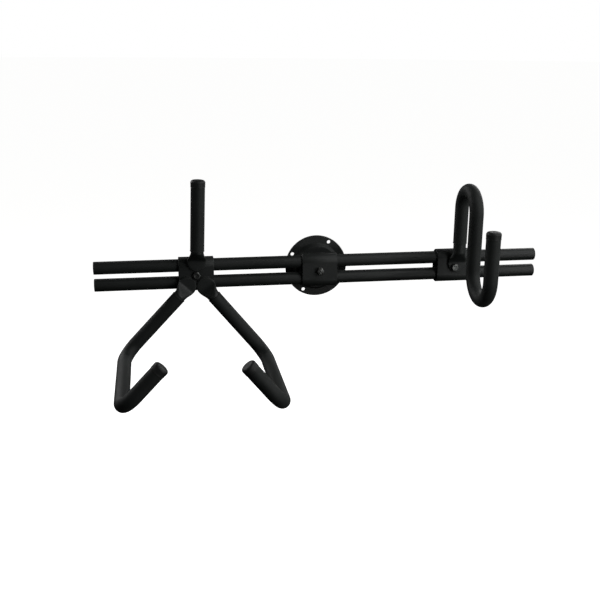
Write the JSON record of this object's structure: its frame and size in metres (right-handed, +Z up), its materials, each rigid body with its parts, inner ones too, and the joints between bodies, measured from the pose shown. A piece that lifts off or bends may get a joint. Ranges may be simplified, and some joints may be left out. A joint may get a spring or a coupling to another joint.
{
  "type": "bicycle wall rack",
  "caption": "Wall-mounted bicycle rack: round wall disc, swivelling twin-tube rail, sliding clamp with padded cradle arms and sliding clamp with padded S-hook.",
  "frame": {"origin": "centre of the wall disc's back face, where the pivot axis meets the wall", "axes": "+X along the rails to the right as seen from the front, +Y into the wall, +Z up"},
  "size_m": [0.894, 0.3464, 0.3653],
  "materials": {
    "black_powder_coat": "semi-matt black powder coat",
    "black_bolt_steel": "dark zinc",
    "rubber_sleeve": "matt black rubber",
    "cap_plastic": "moulded black plastic",
    "friction_nylon": "smooth black nylon"
  },
  "bodies": {
    "wall_mount": {"wall_disc": "black_powder_coat", "pivot_bolt": "black_bolt_steel", "friction_washer": "friction_nylon", "pivot_washer": "black_bolt_steel", "pivot_nut": "black_bolt_steel"},
    "rail_frame": {"pivot_clamp_front": "black_powder_coat", "pivot_clamp_rear": "black_powder_coat", "rail_cap_lower_left": "cap_plastic", "rail_cap_lower_right": "cap_plastic", "rail_cap_upper_left": "cap_plastic", "rail_cap_upper_right": "cap_plastic", "rail_lower": "black_powder_coat", "rail_upper": "black_powder_coat"},
    "cradle_carriage": {"cradle_bolt": "black_bolt_steel", "cradle_clamp_front": "black_powder_coat", "cradle_clamp_rear": "black_powder_coat", "cradle_left_cap": "cap_plastic", "cradle_left_sleeve": "rubber_sleeve", "cradle_left_tube": "black_powder_coat", "cradle_nut": "black_bolt_steel", "cradle_right_cap": "cap_plastic", "cradle_right_sleeve": "rubber_sleeve", "cradle_right_tube": "black_powder_coat", "cradle_top_cap": "cap_plastic", "cradle_top_sleeve": "rubber_sleeve", "cradle_top_tube": "black_powder_coat", "cradle_washer": "black_bolt_steel"},
    "hook_carriage": {"hook_bolt": "black_bolt_steel", "hook_cap": "cap_plastic", "hook_clamp_front": "black_powder_coat", "hook_clamp_rear": "black_powder_coat", "hook_nut": "black_bolt_steel", "hook_sleeve": "rubber_sleeve", "hook_tube": "black_powder_coat", "hook_washer": "black_bolt_steel"}
  },
  "joints": [
    {"name": "rail_swivel", "type": "hinge", "parent": "wall_mount", "child": "rail_frame", "pos_m": [0, 0, 0], "axis": [0, 1, 0], "range_deg": [-90, 90]},
    {"name": "cradle_slide", "type": "slide", "parent": "rail_frame", "child": "cradle_carriage", "axis": [1, 0, 0], "range_m": [-0.155, 0.165]},
    {"name": "hook_slide", "type": "slide", "parent": "rail_frame", "child": "hook_carriage", "axis": [1, 0, 0], "range_m": [-0.195, 0.138]}
  ]
}
